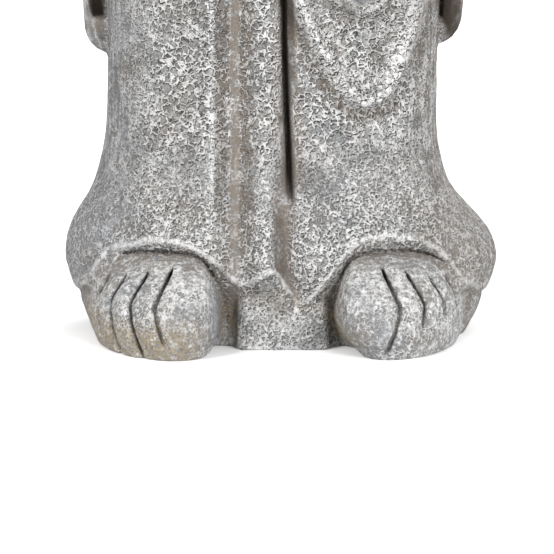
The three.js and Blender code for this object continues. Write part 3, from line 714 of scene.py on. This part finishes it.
def marks(points):
    """Where the surface is rough, washed brown, tan with earth, worn white, or painted with shade in brown,
    cool grey and black.
    """
    x, y, z = points.T
    ahead = step(-15, -30, y)
    seen = step(42, -8, y)
    on_cloth = step(-0.6, 0.6, read(skin, points) - read(cloth, points))
    bare = 1 - on_cloth
    low_front = ahead * (1 - step(WAIST - 30, WAIST, z)) * on_cloth
    # how far from the crease, the valley, the hem's edge and the lip of the outermost fold
    from_crease = x - crease_line(z)
    from_valley = x - valley_line(z)
    hem_above = z - hem_height(x, y)
    valley_part = low_front * step(0, 2, hem_above)
    lip = np.full(len(x), 99.0)
    near_swag = low_front > 0
    fold_x, fold_z = fold_curve(0, 30)
    lip[near_swag] = to_curve(x[near_swag], z[near_swag], fold_x, fold_z)
    # over 0 in a hollow and under 0 on an edge, for small shapes and for large ones
    tight = fullness(points, 3.0, 1.5) - 0.5
    wide = fullness(points, 10.0, 2.5) - 0.5
    # the parts that are painted alike, several of them with painted shade: the shaded sides, the sleeve
    # mouths, the pocket, the foot just under the hem's rim, and the lip's shadow below the outermost fold
    right_side = step(50, 72, x) * seen
    left_side = step(56, 72, -x) * seen
    shade_under_rim = bare * ahead * step(-9, -4, hem_above) * (1 - step(52, 60, z))
    band = on_cloth * ahead * step(0.4, 1.6, -hem_above) * step(-7, -4, hem_above)
    block = on_cloth * step(4, 7, -hem_above) * ahead
    sleeve = step(118, 124, z) * (1 - step(190, 240, z)) * step(12, -4, y)
    left_sleeve = sleeve * step(78.5, 80, -x)
    right_sleeve = sleeve * step(70.2, 71.4, x)
    sleeve = left_sleeve + right_sleeve
    right_sleeve = right_sleeve * (1 - step(160, 200, z))
    pocket_edge = 150.5 + 0.055 * (x - 34.5) ** 2
    pocket_side = low_front * step(16, 12, np.abs(x - 34.5))
    pocket = step(-0.5, 1.5, z - pocket_edge) * (1 - step(165, 185, z)) * pocket_side
    # the painted shadow that the outermost fold's lip casts on the cloth below it
    inside_lip = z > np.interp(x, fold_x, fold_z, left=999, right=999)
    lip_shadow = np.where(inside_lip, 0, bump(lip - 6.5, 3.5)) * low_front
    # brown wash in the hollows, and brown painted shade on the shaded right side, in the sleeve mouths, in
    # the lip's shadow and under the hem's rim
    wash_and_shade = (
        0.85 * strip(x, -30, -19.5, 1.2) * low_front
        + 0.8 * strip(x, -19.5, -12.5, 1.0) * low_front * step(20, 60, z)
        + 0.9 * strip(from_crease, -5.5, 5.5, 1.0) * low_front * step(60, 85, z)
        + 1.1 * strip(from_valley, -2.5, 6.5, 1.5) * valley_part * (1 - step(62, 90, z))
        + 1.0 * right_sleeve
        + 1.0 * left_sleeve * strip(z, 133, 143, 1.5)
        + 0.8 * right_side * on_cloth
        + 0.15 * band
        + 0.6 * lip_shadow
        + 0.8 * bump(z - pocket_edge, 1.2) * pocket_side
        + 0.35 * bare * step(30, 38, z) * (1 - step(60, 70, z))
        + 0.4 * shade_under_rim
        + 0.5 * bare * (1 - step(10, 20, z)) * step(30, 40, -x)
        + 0.8 * bare * bump(x - 21, 6) * (1 - step(28, 36, z))
        + np.clip(wide * 2.6, 0, 0.8)
        + np.clip(tight * 1.2, 0, 0.4)
    )
    worn = (
        0.95 * bump(hem_above - 1.2, 1.4) * on_cloth * step(25, 5, y) * (1 - 0.3 * step(20, 40, x))
        + 0.55 * bump(x + 30.9, 1.2) * low_front * step(45, 75, z)
        + 0.8 * bump(lip, 3.2) * low_front
        + 0.45 * np.where(inside_lip, bump(np.maximum(lip - 5, 0), 5), 0) * low_front
        + 0.5 * left_sleeve * step(87, 89, -x)
        + 0.8 * right_sleeve * step(78.5, 80.5, x) * step(146, 152, z)
        + np.clip(-tight * 2.0, 0, 0.5)
        + 0.15 * bare * step(20, 27, z) * (1 - step(34, 40, z)) * step(62, 50, np.abs(x))
    )
    tan = (
        1.0 * bare * (1 - step(9, 22, z)) * step(30, 44, -x)
        + 0.9 * bare * (1 - step(8, 18, z)) * bump(x - 26, 8)
        + 0.9 * (1 - step(10, 34, z)) * np.clip(wide * 5, 0, 1) * ahead
    )
    # a cool grey tint painted as shade: on the shaded left side, in the pocket and low on the feet's inner
    # sides
    cool_shade = (
        0.7 * left_side * on_cloth
        + 0.9 * pocket
        + 1.3 * bare * bump(x + 27, 6) * (1 - step(26, 34, z))
        + 0.6 * bare * bump(x - 42, 9) * (1 - step(22, 30, z))
    )
    # the lines between the lids and between the lips, painted dark as shade
    on_face = bare * step(-36, -41, y)
    out = np.abs(x)
    across_eye = np.clip((out - EYE_INNER) / (EYE_OUTER - EYE_INNER), 0, 1)
    eye_line = bump(z - eye_height(across_eye), 0.9) * strip(out, EYE_INNER, EYE_OUTER, 0.8)
    mouth_line = bump(z - mouth_height(x / MOUTH_HALF), 0.8)
    mouth_line = mouth_line * (1 - step(MOUTH_HALF - 1, MOUTH_HALF + 1, out))
    # painted shade in near black: in the crease, channel and valley, in the sleeve mouths, under the rim,
    # in the pocket and the lip's shadow, on the shaded sides, in the lines of the eyes and mouth, and in
    # tight hollows round the hands
    painted_shade = (
        0.85 * bump(from_crease, 0.9) * low_front * step(58, 70, z)
        + 0.26 * strip(x, -29.6, -24.6, 0.8) * low_front * step(35, 70, z)
        + 0.62 * strip(from_crease, 0, 4.5, 0.7) * low_front * step(100, 135, z)
        + 0.45 * strip(from_crease, -4.4, 0, 0.7) * low_front * step(62, 74, z) * (1 - step(95, 130, z))
        + 0.22 * strip(from_valley, -1.5, 4, 1.5) * valley_part * (1 - step(55, 75, z))
        + 0.7 * right_sleeve * (1 - 0.7 * step(78.5, 80.5, x))
        + 0.17 * left_side * on_cloth
        + 0.18 * right_side * on_cloth
        + 0.1 * shade_under_rim
        + 0.35 * right_sleeve * bump(x - 72.6, 1.0) * step(128, 134, z)
        + 0.95 * left_sleeve * strip(x, -86, -78.5, 0.8) * step(139, 143, z)
        + 0.2 * pocket
        + 0.2 * lip_shadow
        + (0.75 * eye_line + 0.55 * mouth_line) * on_face
        + 0.6 * np.clip(4.5 * tight - 0.25, 0, 1) * step(200, 240, z) * step(20, 0, y)
    )
    smooth = (
        0.8 * strip(x, -23.2, -18.9, 0.8)
        + 0.9 * strip(from_crease, -1.5, 5.6, 0.8) * step(95, 130, z)
        + 0.9 * strip(from_crease, -4.6, 2.6, 0.8) * step(60, 75, z) * (1 - step(95, 130, z))
        + 0.8 * strip(from_valley, -1.5, 4.5, 1.0) * (1 - step(60, 75, z)) * step(0, 3, hem_above)
        + 0.6 * bump(hem_above - 1.0, 1.5)
        + 0.35 * step(60, 76, np.abs(x))
        + 0.9 * pocket
    ) * low_front + 0.12 * (left_side + right_side) * on_cloth + 0.85 * sleeve
    # rain streaks, how deep the pits are, and where they are large
    streak = np.maximum(step(60, 74, -x), step(54, 66, x)) * seen
    streak = streak * step(50, 90, z) * (1 - step(200, 240, z))
    streak = (streak + 0.6 * strip(x, -24, -19, 0.8) * low_front) * on_cloth
    rough = on_cloth * (1 - np.clip(smooth, 0, 0.9)) + bare * (0.34 - 0.24 * step(60, 120, z))
    rough = rough * (1 - 0.12 * (1 - step(50, 95, z)))
    coarse = on_cloth * step(48, 105, z) * (1 - 0.6 * step(50, 68, np.abs(x)) * seen) + 0.6 * block
    return {
        "rough": rough,
        "wash_and_shade": wash_and_shade,
        "worn": worn,
        "tan": tan,
        "cool_shade": cool_shade,
        "painted_shade": painted_shade,
        "cloth": on_cloth,
        "streak": streak,
        "coarse": coarse,
    }


# The pits of the cast skin: their sizes and depth in m, and their seed.
PIT_SIZE = 0.0029
FINE_PIT_SIZE = 0.0020
PIT_SEED = 3.0
PIT_DEPTH = 0.0009
MIDDLE_HEIGHT = 0.35  # the height of the network that stays on the carved face
# the reach towards the light, from which the ridges' painted shadows are found
SHADOW_REACH = (-0.00026, -0.0001, 0.00046)  # a little up and to the left, in m


def put(mesh, name, values):
    layer = mesh.attributes.new(name, "FLOAT", "POINT")
    layer.data.foreach_set("value", np.clip(values, 0, 2).astype(np.float32))


class Bench:
    """A node tree at work, with short ways to add a wired node."""

    def __init__(self, tree):
        self.nodes, self.links = tree.nodes, tree.links

    def feed(self, socket, value):
        """Wire a socket to another one, or give it a plain value."""
        if isinstance(value, bpy.types.NodeSocket):
            self.links.new(value, socket)
        else:
            socket.default_value = value

    def node(self, kind, **inputs):
        """A node with inputs given by name; _ stands for a space."""
        node = self.nodes.new(kind)
        for name, value in inputs.items():
            self.feed(node.inputs[name.replace("_", " ")], value)
        return node

    def math(self, operation, *values, clamp=False):
        node = self.nodes.new("ShaderNodeMath")
        node.operation = operation
        node.use_clamp = clamp
        for socket, value in zip(node.inputs, values):
            self.feed(socket, value)
        return node.outputs[0]

    def times(self, a, b, clamp=False):
        return self.math("MULTIPLY", a, b, clamp=clamp)

    def plus(self, a, b, clamp=False):
        return self.math("ADD", a, b, clamp=clamp)

    def minus(self, a, b, clamp=False):
        return self.math("SUBTRACT", a, b, clamp=clamp)

    def vector(self, operation, a, b):
        node = self.nodes.new("ShaderNodeVectorMath")
        node.operation = operation
        self.feed(node.inputs[0], a)
        self.feed(node.inputs["Scale" if operation == "SCALE" else 1], b)
        return node.outputs[0]

    def ramp(self, value, low, high, to_low=0.0, to_high=1.0):
        """A smooth step from to_low, where the value is low, to to_high."""
        node = self.node("ShaderNodeMapRange", Value=value, From_Min=low, From_Max=high)
        node.interpolation_type = "SMOOTHSTEP"
        node.inputs["To Min"].default_value = to_low
        node.inputs["To Max"].default_value = to_high
        return node.outputs[0]

    def noise(self, at, scale, detail, seed):
        node = self.nodes.new("ShaderNodeTexNoise")
        node.noise_dimensions = "4D"
        for name, value in (("Vector", at), ("Scale", scale), ("Detail", detail), ("W", seed)):
            self.feed(node.inputs[name], value)
        return node.outputs


def add_inputs(tree, **kinds):
    for name, kind in kinds.items():
        tree.interface.new_socket(name.replace("_", " "), in_out="INPUT", socket_type="NodeSocket" + kind)


def pit_pattern(kind, name):
    """A node group, for modifiers or for materials: the raised network and the grain of the cast skin."""
    group = bpy.data.node_groups.new(name, kind)
    add_inputs(group, Position="Vector", Pit_Size="Float", Seed="Float")
    for output in ("Network", "Grain"):
        group.interface.new_socket(output, in_out="OUTPUT", socket_type="NodeSocketFloat")
    bench = Bench(group)
    given = bench.node("NodeGroupInput").outputs
    seed = given["Seed"]
    cells = bench.vector("SCALE", given["Position"], bench.math("DIVIDE", 1.0, given["Pit Size"]))
    # the cells are bent out of their regular shape, and their walls are broken here and there
    bend = bench.vector("SUBTRACT", bench.noise(cells, 1.0, 3.0, seed)["Color"], (0.5, 0.5, 0.5))
    bent = bench.vector("ADD", cells, bench.vector("SCALE", bend, 2.0))
    net = bench.nodes.new("ShaderNodeTexVoronoi")
    net.feature = "DISTANCE_TO_EDGE"
    net.voronoi_dimensions = "3D"
    bench.feed(net.inputs["Vector"], bent)
    bench.feed(net.inputs["Scale"], 0.85)
    ridge = bench.minus(1.0, bench.ramp(net.outputs["Distance"], 0.06, 0.17))
    unbroken = bench.ramp(bench.noise(cells, 0.9, 2.0, seed)["Fac"], 0.34, 0.50)
    ridge = bench.times(ridge, bench.math("MULTIPLY_ADD", unbroken, 0.8, 0.2))
    flake = bench.ramp(bench.noise(bent, 1.1, 4.0, seed)["Fac"], 0.53, 0.61)
    network = bench.math("MAXIMUM", bench.times(ridge, 0.9), bench.times(flake, 0.7))
    grain = bench.noise(cells, 3.2, 4.0, seed)["Fac"]
    bench.node("NodeGroupOutput", Network=network, Grain=grain)
    return group


# Relief: a geometry node tree raises the network and sinks the pits.
tree = bpy.data.node_groups.new("pitted_skin", "GeometryNodeTree")
add_inputs(tree, Geometry="Geometry", Depth="Float", Pit_Size="Float", Seed="Float", Stone="Material")
tree.interface.new_socket("Geometry", in_out="OUTPUT", socket_type="NodeSocketGeometry")
bench = Bench(tree)
given = bench.node("NodeGroupInput").outputs
pits = bench.nodes.new("GeometryNodeGroup")
pits.node_tree = pit_pattern("GeometryNodeTree", "pits_in_mesh")
bench.feed(pits.inputs["Position"], bench.node("GeometryNodeInputPosition").outputs[0])
bench.feed(pits.inputs["Pit Size"], given["Pit Size"])
bench.feed(pits.inputs["Seed"], given["Seed"])
rough = bench.nodes.new("GeometryNodeInputNamedAttribute")
rough.data_type = "FLOAT"
rough.inputs["Name"].default_value = "rough"
lift = bench.times(bench.minus(pits.outputs["Network"], MIDDLE_HEIGHT), rough.outputs["Attribute"])
lift = bench.times(lift, given["Depth"])
along = bench.vector("SCALE", bench.node("GeometryNodeInputNormal").outputs[0], lift)
pushed = bench.node("GeometryNodeSetPosition", Geometry=given["Geometry"], Offset=along)
real = bench.node("GeometryNodeRealizeInstances", Geometry=pushed.outputs[0])
coated = bench.node("GeometryNodeSetMaterial", Geometry=real.outputs[0], Material=given["Stone"])
bench.feed(bench.node("NodeGroupOutput").inputs[0], coated.outputs[0])

# Material: grey cast stone, dry-brushed white on the network, with brown wash and tan earth in the hollows.
# Painted shade too: near black in creases and hollows, brown and cool grey on the shaded parts, and thin
# shadows below the ridges of the pits.
GREY = (0.152, 0.155, 0.159)
WARM = (0.160, 0.152, 0.143)
WHITE = (0.565, 0.563, 0.557)
RIDGE_SHADOW_GREY = (0.038, 0.036, 0.034)
COOL_SHADE_GREY = (0.165, 0.180, 0.205)
BROWN = (0.150, 0.122, 0.096)
TAN = (0.27, 0.22, 0.145)
SHADE_BLACK = (0.026, 0.019, 0.014)
stone_grey = bpy.data.materials.new("cast_stone")
stone_grey.use_nodes = True
bench = Bench(stone_grey.node_tree)
shade = bench.nodes["Principled BSDF"]
place = bench.nodes.new("ShaderNodeTexCoord").outputs["Object"]
paint_pits = pit_pattern("ShaderNodeTree", "pits_in_paint")
plus, minus, times, ramp = bench.plus, bench.minus, bench.times, bench.ramp


def patches(scale, detail, seed, stretch=None):
    """Soft patches in the stone's own space, drawn out along an axis where a stretch is given."""
    at = bench.vector("MULTIPLY", place, stretch) if stretch else place
    return bench.noise(at, scale, detail, seed)["Fac"]


def blend(base, colour, amount):
    node = bench.nodes.new("ShaderNodeMix")
    node.data_type = "RGBA"
    bench.feed(node.inputs["Factor"], amount)
    for value, socket in ((base, node.inputs[6]), (colour, node.inputs[7])):
        bench.feed(socket, (*value, 1) if isinstance(value, tuple) else value)
    return node.outputs[2]


def mark(name):
    node = bench.nodes.new("ShaderNodeAttribute")
    node.attribute_name = name
    return node.outputs["Fac"]


def pits_at(size, reach=None):
    """The pattern in the paint; with a reach, the pattern as it is that far away."""
    node = bench.nodes.new("ShaderNodeGroup")
    node.node_tree = paint_pits
    bench.feed(node.inputs["Position"], bench.vector("ADD", place, reach) if reach else place)
    bench.feed(node.inputs["Pit Size"], size)
    bench.feed(node.inputs["Seed"], PIT_SEED)
    return node.outputs


def either(low, high, amount):
    """One value where the amount is 0, the other where it is 1."""
    return plus(times(low, minus(1.0, amount)), times(high, amount))


# Painted shadow of the ridges: the lee of a ridge, where the pattern a little higher and to the left,
# towards the light, stands above the pattern here, is painted dark.
coarse_mark = mark("coarse")
wide_pits = pits_at(PIT_SIZE)
network = either(pits_at(FINE_PIT_SIZE)["Network"], wide_pits["Network"], coarse_mark)
higher = [pits_at(size, SHADOW_REACH)["Network"] for size in (FINE_PIT_SIZE, PIT_SIZE)]
ridge_shadow = minus(either(*higher, coarse_mark), network, clamp=True)
uneven = times(minus(patches(140, 3, 17.0), 0.5), 0.9)
rough_mark = plus(mark("rough"), uneven, clamp=True)
cloth_mark = mark("cloth")
patch = patches(90, 3, 1.0)
blotch = patches(330, 4, 2.0)
fine = patches(1100, 3, 5.0)

# How white: the network, soft patches, worn edges, flecks on the bare skin, fine grain and streaks.
broad = ramp(patches(60, 2, 21.0), 0.36, 0.6, 0.62, 1.05)
white = times(times(times(network, ramp(rough_mark, 0.0, 0.75, 0.25, 1.0)), broad), 0.86)
white = plus(white, times(ramp(patch, 0.36, 0.68), ramp(cloth_mark, 0.0, 1.0, 0.12, 0.3)))
white = plus(white, times(mark("worn"), ramp(blotch, 0.34, 0.58)))
flecks = ramp(patches(380, 4, 23.0), 0.46, 0.62, 0.0, 0.36)
white = plus(white, times(flecks, minus(1.0, cloth_mark)))
white = plus(white, times(minus(fine, 0.5), ramp(cloth_mark, 0.0, 1.0, 0.8, 1.3)))
streaks = minus(patches(420, 3, 13.0, (1, 1, 0.14)), 0.5)
white = plus(white, times(times(streaks, 2.6), mark("streak")))
white = ramp(white, 0.0, 1.0, 0.0, 0.9)

warm = ramp(patches(55, 4, 11.0), 0.38, 0.62)
colour = blend(blend(GREY, WARM, warm), WHITE, white)
# the ridges' painted shadows, in near black
shadow_specks = times(ramp(ridge_shadow, 0.12, 0.55), ramp(patch, 0.25, 0.5, 0.5, 1.0))
colour = blend(colour, RIDGE_SHADOW_GREY, times(times(shadow_specks, rough_mark), 0.95, clamp=True))
# cool grey painted shade
cool_shade = times(mark("cool_shade"), ramp(patch, 0.35, 0.6), clamp=True)
colour = blend(colour, COOL_SHADE_GREY, times(cool_shade, 0.5))
# brown wash, partly brown painted shade
wash_and_shade = times(mark("wash_and_shade"), ramp(patches(260, 4, 7.0), 0.32, 0.62), clamp=True)
wash_and_shade = times(wash_and_shade, minus(1.0, times(white, 0.55)), clamp=True)
colour = blend(colour, BROWN, times(wash_and_shade, 0.75))
tan = times(mark("tan"), ramp(patches(620, 4, 9.0), 0.36, 0.62), clamp=True)
colour = blend(colour, TAN, times(tan, 0.8))
# near-black painted shade
colour = blend(colour, SHADE_BLACK, mark("painted_shade"))
bench.feed(shade.inputs["Base Color"], colour)
shade.inputs["Roughness"].default_value = 0.93
shade.inputs["Specular IOR Level"].default_value = 0.25
height_of = plus(plus(times(network, rough_mark), times(wide_pits["Grain"], 0.6)), times(fine, 0.2))
dents = bench.node("ShaderNodeBump", Strength=1.2, Distance=0.0010, Height=height_of)
bench.feed(shade.inputs["Normal"], dents.outputs[0])

# Bake the relief, then thin it where the faces are flat or far behind. The folds, the feet, the face and
# the fingers keep every face.
KEEP_LEVELS = 20
FACES = 196000
UNLOCKED = 1e-5  # the pull of the group on faces that it doesn't lock
design = corners * 1000 - shift
dx, dy, dz = design.T
folds_and_feet = step(-20, -40, dy) * (1 - step(150, 190, dz))
eyes_to_mouth = strip(dz, 355, 414, 3) * step(40, 35, np.abs(dx)) * step(-32, -38, dy)
fingers = strip(dz, 270, 320, 3) * step(20, 16, np.abs(dx)) * step(-48, -54, dy)
# no relief on the flat underside, and little of it where the faces end up large
rough_above_ground = marks(design)["rough"] * step(0.3, 2.0, dz)
put(mesh, "rough", rough_above_ground * mix(0.3, 1, folds_and_feet))
keep = statue.vertex_groups.new(name="keep")
kept = np.maximum(folds_and_feet, np.maximum(eyes_to_mouth, fingers))
for level in range(KEEP_LEVELS + 1):
    at_level = np.flatnonzero(np.rint(KEEP_LEVELS * kept) == level)
    keep.add(at_level.tolist(), level / KEEP_LEVELS, "REPLACE")
relief = statue.modifiers.new("relief", "NODES")
relief.node_group = tree
settings = {"Depth": PIT_DEPTH, "Pit Size": PIT_SIZE, "Seed": PIT_SEED, "Stone": stone_grey}
for item in tree.interface.items_tree:
    if item.in_out == "INPUT" and item.name in settings:
        relief[item.identifier] = settings[item.name]
thin = statue.modifiers.new("thin", "DECIMATE")
thin.ratio = min(1.0, FACES / (2 * len(quads)))
thin.vertex_group = "keep"
thin.invert_vertex_group = True
thin.vertex_group_factor = UNLOCKED
thin.use_collapse_triangulate = True
baked = bpy.data.meshes.new_from_object(statue.evaluated_get(bpy.context.evaluated_depsgraph_get()))
statue.modifiers.clear()
statue.vertex_groups.clear()
statue.data = baked
baked.attributes.remove(baked.attributes["rough"])
where_now = np.empty(len(baked.vertices) * 3, np.float32)
baked.vertices.foreach_get("co", where_now)
for name, values in marks(where_now.reshape(-1, 3) * 1000 - shift).items():
    put(baked, name, values)

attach(statue, "root")
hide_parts("jizo_statue")

# ====================================================================================================
# The floor, the light and the camera
# A plain pale floor in a white room, lit by three large soft lamps: two in front and one behind. A long
# lens looks at the feet from in front, a little from above.
FLOOR_HALF = 6.0
floor_mesh = bpy.data.meshes.new("floor")
floor_corners = [(a * FLOOR_HALF, b * FLOOR_HALF, 0) for a, b in ((-1, -1), (1, -1), (1, 1), (-1, 1))]
floor_mesh.from_pydata(floor_corners, [], [(0, 1, 2, 3)])
floor = bpy.data.objects.new("floor", floor_mesh)
bpy.context.scene.collection.objects.link(floor)
pale = bpy.data.materials.new("pale_floor")
pale.use_nodes = True
pale.node_tree.nodes["Principled BSDF"].inputs["Base Color"].default_value = (0.9, 0.9, 0.9, 1)
pale.node_tree.nodes["Principled BSDF"].inputs["Roughness"].default_value = 1.0
floor_mesh.materials.append(pale)

world = bpy.data.worlds.new("studio")
world.use_nodes = True
world.node_tree.nodes["Background"].inputs["Color"].default_value = (1, 1, 1, 1)
world.node_tree.nodes["Background"].inputs["Strength"].default_value = 1.0
bpy.context.scene.world = world
bpy.context.scene.view_settings.view_transform = "Standard"


def soft_light(name, place, aim, size, power):
    lamp = bpy.data.lights.new(name, "AREA")
    lamp.size = size
    lamp.energy = power
    box = bpy.data.objects.new(name, lamp)
    box.location = place
    box.rotation_euler = (Vector(aim) - Vector(place)).to_track_quat("-Z", "Y").to_euler()
    bpy.context.scene.collection.objects.link(box)


soft_light("upper_left", (-1.1, -1.2, 1.2), (0, 0, 0.1), 0.5, 24)
soft_light("front_right", (0.9, -1.5, 0.8), (0, 0, 0.1), 0.8, 27)
soft_light("behind", (0.7, 1.5, 1.0), (0, 0, 0.2), 0.8, 16)

CAMERA_ABOVE = np.radians(9.75)
CAMERA_AWAY = 2.6
CAMERA_AIM = Vector((-0.00167, 0, 0.0244))
LENS = 378
camera_data = bpy.data.cameras.new("camera")
camera_data.lens = LENS
camera = bpy.data.objects.new("camera", camera_data)
back_off = Vector((0, -np.cos(CAMERA_ABOVE), np.sin(CAMERA_ABOVE)))
camera.location = CAMERA_AIM + back_off * CAMERA_AWAY
camera.rotation_euler = (-back_off).to_track_quat("-Z", "Y").to_euler()
bpy.context.scene.collection.objects.link(camera)
bpy.context.scene.camera = camera
